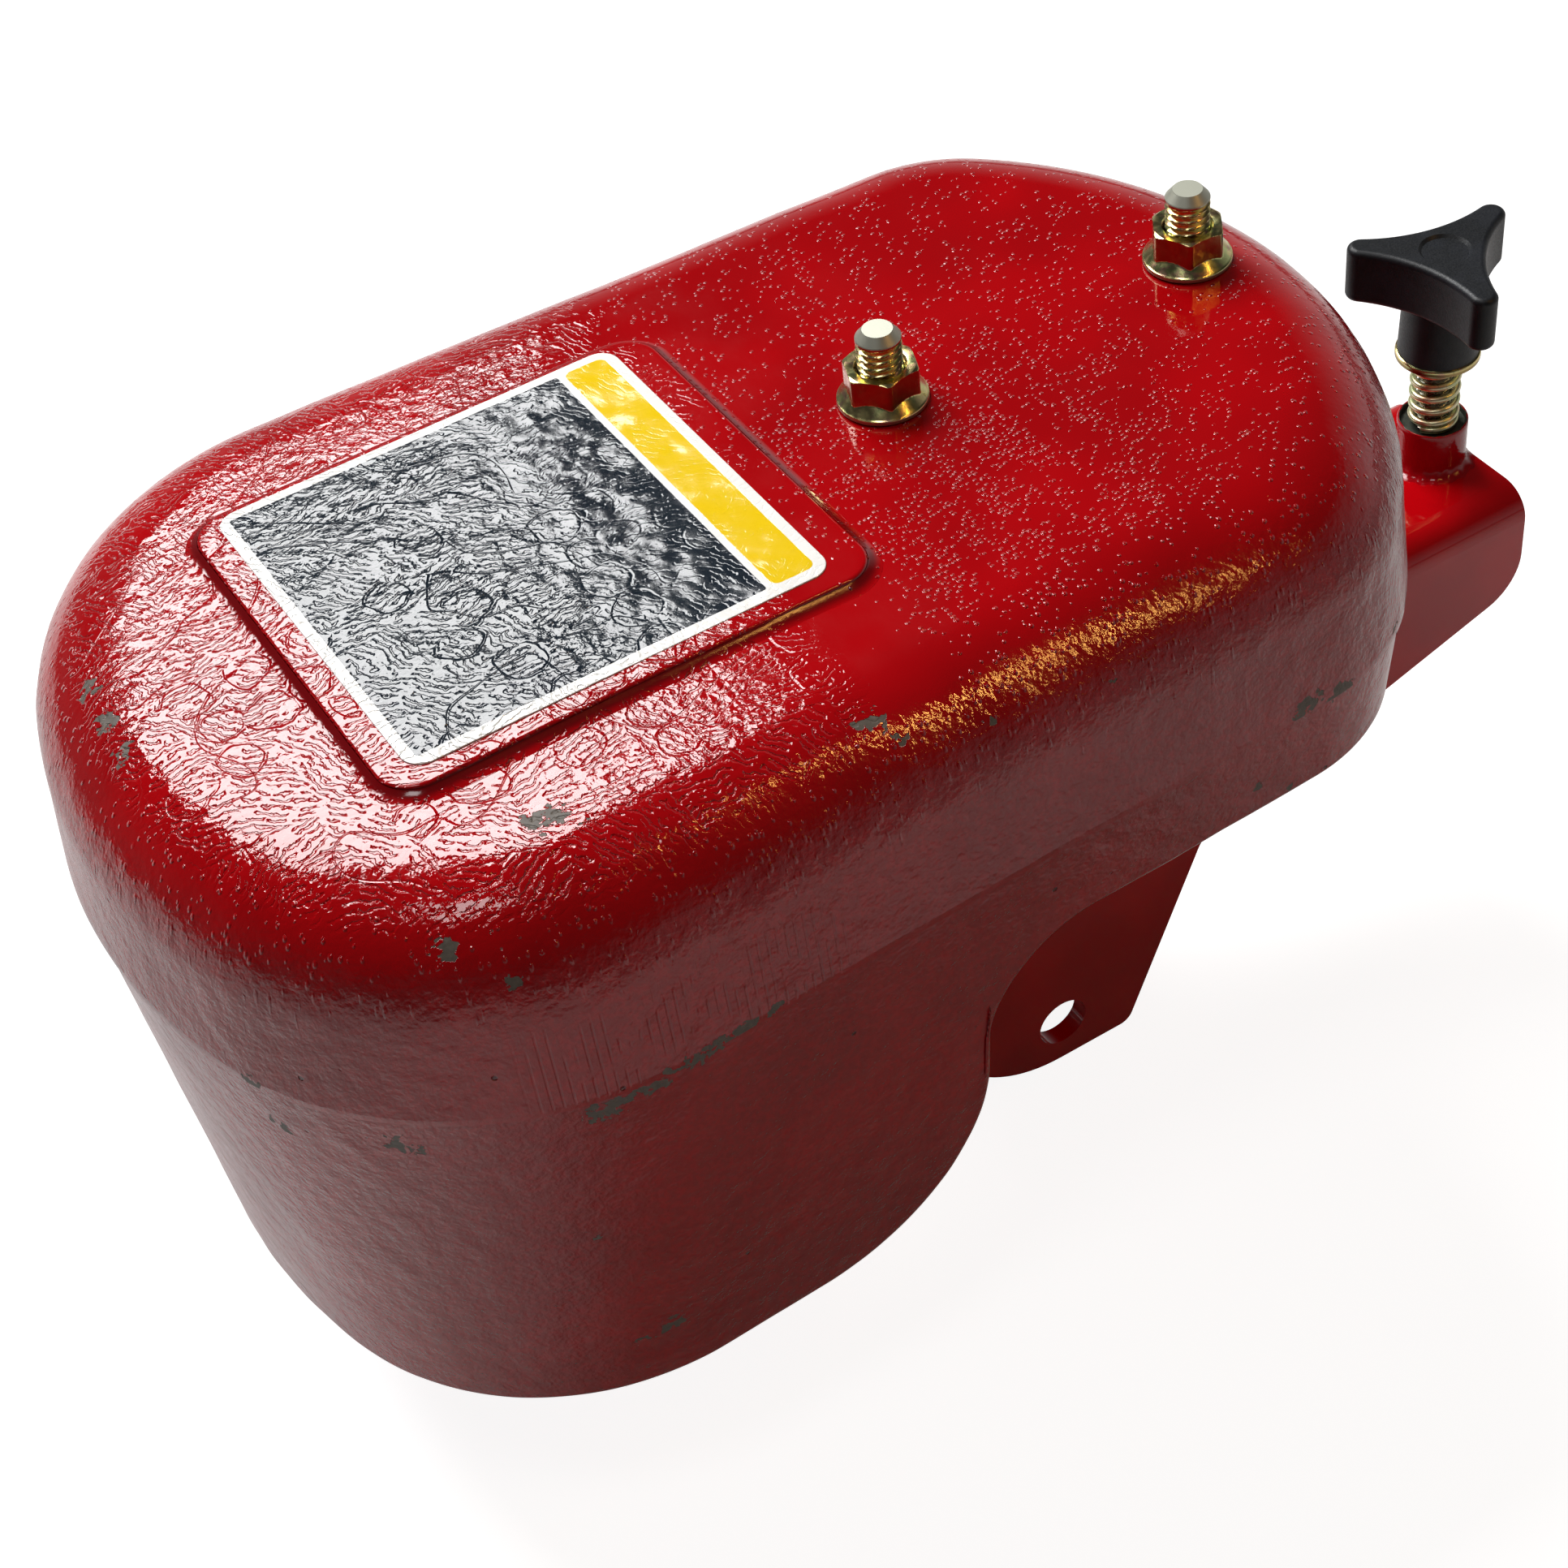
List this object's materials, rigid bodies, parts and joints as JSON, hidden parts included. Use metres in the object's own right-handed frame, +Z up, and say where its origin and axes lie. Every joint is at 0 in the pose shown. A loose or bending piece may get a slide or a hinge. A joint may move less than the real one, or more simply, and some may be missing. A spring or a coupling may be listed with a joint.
{
  "type": "mower caster weight",
  "caption": "Stepped cast-iron counterweight bolted to a folded saddle bracket with pin legs and a spring-loaded clamping knob.",
  "frame": {"origin": "middle of the cross-pin axis, between the two legs of the bracket", "axes": "+X along the weight towards the clamping knob, +Y along the cross pin, +Z up"},
  "size_m": [0.3557, 0.1858, 0.2161],
  "materials": {
    "casting_enamel": "gloss red enamel over rough iron",
    "bracket_enamel": "gloss red enamel",
    "decal_vinyl": "printed vinyl, blank",
    "yellow_zinc": "yellow zinc plate",
    "stud_steel": "zinc plate",
    "knob_plastic": "fine satin moulding"
  },
  "bodies": {
    "weight": {"weight_casting": "casting_enamel", "mounting_bracket": "bracket_enamel", "threaded_boss": "bracket_enamel", "decal": "decal_vinyl", "bolt_near": "yellow_zinc", "bolt_far": "yellow_zinc", "flange_nut_near": "yellow_zinc", "flange_nut_far": "yellow_zinc", "compression_spring": "yellow_zinc"},
    "washer": {"knob_washer": "yellow_zinc"},
    "knob": {"clamp_knob": "knob_plastic", "knob_stud": "stud_steel"}
  },
  "joints": [
    {"name": "knob_travel", "type": "slide", "parent": "weight", "child": "washer", "axis": [0, 0, 1], "range_m": [-0.0065, 0.003], "deforming": ["compression_spring"]},
    {"name": "knob_turn", "type": "hinge", "parent": "washer", "child": "knob", "pos_m": [0.1288, 0, 0.15], "axis": [0, 0, 1], "range_deg": [-1659, 766]}
  ],
  "couplings": [
    {"joint": "knob_turn", "follows": "knob_travel", "rad_per_m": 4452.7}
  ]
}
